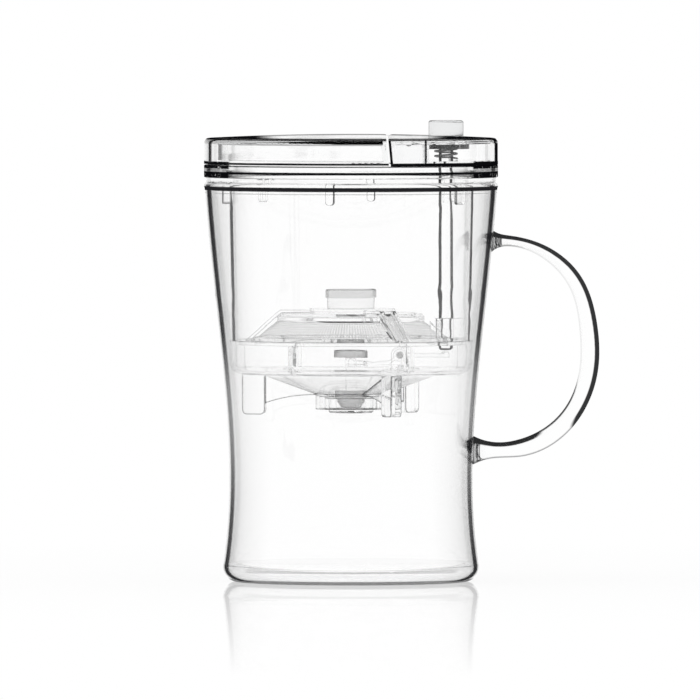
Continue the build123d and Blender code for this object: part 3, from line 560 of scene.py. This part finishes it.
dress(clear_material("blown_glass", GLASS_IOR, WALL, EDGE_SHADE, inner=0.2, clear_floor=MUG_FLOOR, fade=(119.3, 0.3),
                     by_height=GLASS_HEIGHT, ripple=0.002, rings=GLASS_LINES),
      "mug_body")
dress(clear_material("drawn_glass", GLASS_IOR, ARM, ARM_EDGE_SHADE, sided=ARM_SIDE, ripple=0.01, flat_clear=False,
                     lines=ARM_LINES, strips=PAD_STRIPS),
      "mug_handle")
dress(clear_material("cap_plastic", PLASTIC_IOR, CAP, BLACK, inner=0.2, back=0.0, top=True, rings=LID_LINES,
                     ends=LID_ENDS),
      "lid_shell")
dress(clear_material("skirt_plastic", PLASTIC_IOR, SOFT, EDGE_SHADE, inner=0.3, rings=SKIRT_LINES),
      "lid_skirt")
dress(clear_material("housing_plastic", PLASTIC_IOR, CAP, BLACK, inner=0.3, back=0.0, top=True, right=CAP_RIGHT,
                     rings=LID_LINES, ends=HOUSING_ENDS, seams=HOUSING_SEAMS),
      "button_housing", "housing_floor")
dress(clear_material("collar_plastic", PLASTIC_IOR, COLLAR, BLACK, inner=0.4, rings=COLLAR_LINES,
                     ends=COLLAR_ENDS),
      "collar_ring")
dress(clear_material("liner_plastic", PLASTIC_IOR, THIN, EDGE_SHADE, inner=0.2, edges=(0.35, 0.6), fade=(119.9, 0.2),
                     right=THIN_RIGHT),
      "brewing_liner", "rod_guide")
dress(clear_material("rod_plastic", PLASTIC_IOR, ROD, EDGE_SHADE),
      "push_rod")
dress(clear_material("cup_plastic", PLASTIC_IOR, FAINT, BLACK, density=4.0, inner=0.5, back=0.1,
                     fade=(61.5, 0.25), edges=(0.7, 1.0)),
      "base_cup", "outlet_ring", "valve_lever", "valve_stem")
dress(clear_material("frame_plastic", PLASTIC_IOR, FAINT, GREY, fade=(60.0, 0.5), edges=(0.35, 0.9), back=0.1),
      "filter_frame")
dress(clear_material("knob_plastic", PLASTIC_IOR, KNOB, GREY, back=0.0, edges=(0.3, 0.4), rings=KNOB_LINES,
                     ends=KNOB_ENDS),
      "filter_knob")
dress(clear_material("button_plastic", PLASTIC_IOR, KNOB, GREY, density=20.0, back=0.2, roughness=0.1,
                     hatch=BUTTON_KNURL, edges=(0.4, 0.7), ends=BUTTON_ENDS),
      "button_cap")
dress(clear_material("clear_silicone", SILICONE_IOR, SEAL, GREY),
      "lid_gasket")
dress(milky_silicone(), "valve_plug", "valve_head")
dress(drawn_steel("pin_steel", PIN_TONES), "hinge_pin", "lever_pin")
dress(drawn_steel("spring_steel", SPRING_TONES), "button_spring")


# ---------------------------------------------------------------- the filter's cloth

# Both sides of the cloth as (r, z) in millimetres: up the foot, along the cone and in over the flat top. Between
# the points there are as many rows as CLOTH_ROWS says.
CLOTH_OUTER = np.array([(29.08, 71.9), (29.08, 72.5), (20.39, 79.48), (2.0, 79.48)])
CLOTH_INNER = np.array([(28.68, 71.9), (28.68, 72.5), (20.19, 79.08), (2.0, 79.08)])
CLOTH_ROWS = (3, 56, 6)
CELL_STEPS = 4          # rows and columns to one cell of the weave
CELLS_ROUND = 196
DIMPLE = 0.18           # depth of a cell
SLIT_HALF = 0.3         # half the width of the slit that opens the cloth towards +X
NOTCH_START = 23.65     # x of the straight edge of the notch for the push rod
NOTCH_CORNER = 24.43    # radius of the notch's corners
NOTCH_HALF = 6.15       # half the notch's width


def cloth_rows(line):
    """The points of a side's rows, evenly spread along each stretch."""
    stretches = [np.linspace(line[i], line[i + 1], rows, endpoint=False) for i, rows in enumerate(CLOTH_ROWS)]
    return np.concatenate(stretches + [line[-1:]])


def opening_angle(reach):
    """Half the angle that is open towards +X at each radius: the slit, or the notch further out."""
    angle = np.arcsin(np.minimum(SLIT_HALF / reach, 1))
    start = np.maximum(angle, np.arccos(np.minimum(NOTCH_START / reach, 1)))
    angle = np.where(reach > NOTCH_START, start, angle)
    return np.where(reach > NOTCH_CORNER, np.arcsin(np.minimum(NOTCH_HALF / reach, 1)), angle)


def arc_shell(name, outer, inner, turn, hole):
    """A thin shell swept round the mug's axis, closed all over.

    outer and inner are (rows, 2) arrays of (r, z) with as many rows. turn is the (rows, columns) angle of each
    point. hole is the (rows, columns) depth of the dimples from 0 to 1, which moves the outer side to the inner one
    by DIMPLE.
    """
    rows, columns = hole.shape
    way = inner - outer
    way = way / np.linalg.norm(way, axis=1)[:, None]
    sides = []
    for line, depth in ((outer, hole * DIMPLE), (inner, np.zeros_like(hole))):
        r = line[:, 0, None] + way[:, 0, None] * depth
        z = line[:, 1, None] + way[:, 1, None] * depth
        sides.append(np.stack((r * np.cos(turn), r * np.sin(turn), z), axis=2))
    points = np.concatenate((sides[0], sides[1][::-1])) * MM
    index = np.arange(points.shape[0] * columns).reshape(points.shape[0], columns)
    below, above = index, np.roll(index, -1, axis=0)
    skin = np.stack((below[:, :-1], below[:, 1:], above[:, 1:], above[:, :-1]), axis=2).reshape(-1, 4)
    near, far = index[:rows], index[rows:][::-1]
    first = np.stack((near[:-1, 0], near[1:, 0], far[1:, 0], far[:-1, 0]), axis=1)
    last = np.stack((near[:-1, -1], far[:-1, -1], far[1:, -1], near[1:, -1]), axis=1)
    mesh = bpy.data.meshes.new(name)
    mesh.from_pydata(points.reshape(-1, 3), [], np.concatenate((skin, first, last)).tolist())
    depth = mesh.attributes.new("hole", "FLOAT", "POINT")
    depth.data.foreach_set("value", np.concatenate((hole, np.zeros_like(hole))).astype(np.float32).ravel())
    mesh.polygons.foreach_set("use_smooth", np.ones(len(mesh.polygons), dtype=bool))
    return add_object(name, mesh)


outer_rows = cloth_rows(CLOTH_OUTER)
opening = opening_angle(outer_rows[:, 0])[:, None]
turn = opening + (2 * pi - 2 * opening) * np.linspace(0, 1, CELLS_ROUND * CELL_STEPS + 1)[None, :]
foot_rows, cone_rows, _ = CLOTH_ROWS
slant = (np.arange(len(outer_rows)) - foot_rows) / CELL_STEPS
weave = (0.5 - 0.5 * np.cos(turn * CELLS_ROUND)) * (0.5 - 0.5 * np.cos(2 * pi * slant[:, None]))
weave *= ((slant > 0) & (slant < cone_rows / CELL_STEPS))[:, None]
filter_cloth = arc_shell("filter_cloth", outer_rows, cloth_rows(CLOTH_INNER), turn, weave)
filter_cloth.data.materials.append(woven_mesh())
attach(filter_cloth, "filter")
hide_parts("filter_mesh")


# ---------------------------------------------------------------- stage, light and camera

WHITE = (1, 1, 1, 1)
FLOOR_HALF = 20.0
FLOOR_PAINT = (0.92, 0.92, 0.92, 1)
# How white and how polished the floor is by the distance from the mug in metres.
FLOOR_WHITE = [(0.0, 0.85), (0.08, 0.85), (0.35, 1.0)]
FLOOR_POLISH = [(0.0, 0.42), (0.04, 0.42), (0.7, 0.0)]
FLOOR_ROUGHNESS = 0.02
WORLD_LIGHT, WORLD_SEEN = 0.8, 1.0

DISTANCE = 6.0
ELEVATION = radians(1.4)
VIEW_WIDTH = 0.210
SENSOR = 36
CAMERA_RANGE = 200
AIM = np.array([-0.0003, 0, 0.06945])

LAMP_SIZE = 0.8
LAMP_POWER = 3
LAMP_PLACE = (-0.3, -0.3, 1.1)
LAMP_TURN = radians(-15)

CLEAR_BOUNCES = 60
HOLE_BOUNCES = 40

floor_mesh = bpy.data.meshes.new("floor")
corners = [(x * FLOOR_HALF, y * FLOOR_HALF, 0) for x, y in ((-1, -1), (1, -1), (1, 1), (-1, 1))]
floor_mesh.from_pydata(corners, [], [(0, 1, 2, 3)])
floor = add_object("floor", floor_mesh)
floor_look, tree, output = new_material("white_floor")
matte = add_node(tree, "ShaderNodeBsdfDiffuse", Color=FLOOR_PAINT)
white = add_node(tree, "ShaderNodeEmission", Color=WHITE, Strength=1.0)
mirror = add_node(tree, "ShaderNodeBsdfGlossy", Color=WHITE, Roughness=FLOOR_ROUGHNESS)
from_mug = vector_number(tree, "LENGTH", object_place(tree))
ground = mix_shader(tree, grey_ramp(tree, from_mug, FLOOR_WHITE), matte.outputs["BSDF"], white.outputs["Emission"])
surface = mix_shader(tree, grey_ramp(tree, from_mug, FLOOR_POLISH), ground, mirror.outputs["BSDF"])
tree.links.new(surface, output.inputs["Surface"])
floor_mesh.materials.append(floor_look)

scene = bpy.context.scene
world = bpy.data.worlds.new("studio")
scene.world = world
world.use_nodes = True
tree = world.node_tree
tree.nodes.clear()
output = tree.nodes.new("ShaderNodeOutputWorld")
soft = add_node(tree, "ShaderNodeBackground", Color=WHITE, Strength=WORLD_LIGHT)
plain = add_node(tree, "ShaderNodeBackground", Color=WHITE, Strength=WORLD_SEEN)
path = tree.nodes.new("ShaderNodeLightPath")
seen = largest(tree, path.outputs["Is Camera Ray"], path.outputs["Is Glossy Ray"],
               path.outputs["Is Transmission Ray"])
backdrop = mix_shader(tree, seen, soft.outputs["Background"], plain.outputs["Background"])
tree.links.new(backdrop, output.inputs["Surface"])

camera_data = bpy.data.cameras.new("camera")
camera_data.lens = SENSOR * DISTANCE / VIEW_WIDTH
camera_data.sensor_width = SENSOR
camera_data.clip_end = CAMERA_RANGE
camera = add_object("camera", camera_data)
camera.location = AIM + DISTANCE * np.array([0, -cos(ELEVATION), sin(ELEVATION)])
camera.rotation_euler = (radians(90) - ELEVATION, 0, 0)
scene.camera = camera

lamp_data = bpy.data.lights.new("softbox", "AREA")
lamp_data.shape = "RECTANGLE"
lamp_data.size = LAMP_SIZE
lamp_data.size_y = LAMP_SIZE
lamp_data.energy = LAMP_POWER
lamp = add_object("softbox", lamp_data)
lamp.location = LAMP_PLACE
lamp.rotation_euler = (LAMP_TURN, LAMP_TURN, 0)

scene.view_settings.view_transform = "Standard"
scene.cycles.max_bounces = CLEAR_BOUNCES
scene.cycles.transmission_bounces = CLEAR_BOUNCES
scene.cycles.glossy_bounces = CLEAR_BOUNCES
scene.cycles.transparent_max_bounces = HOLE_BOUNCES
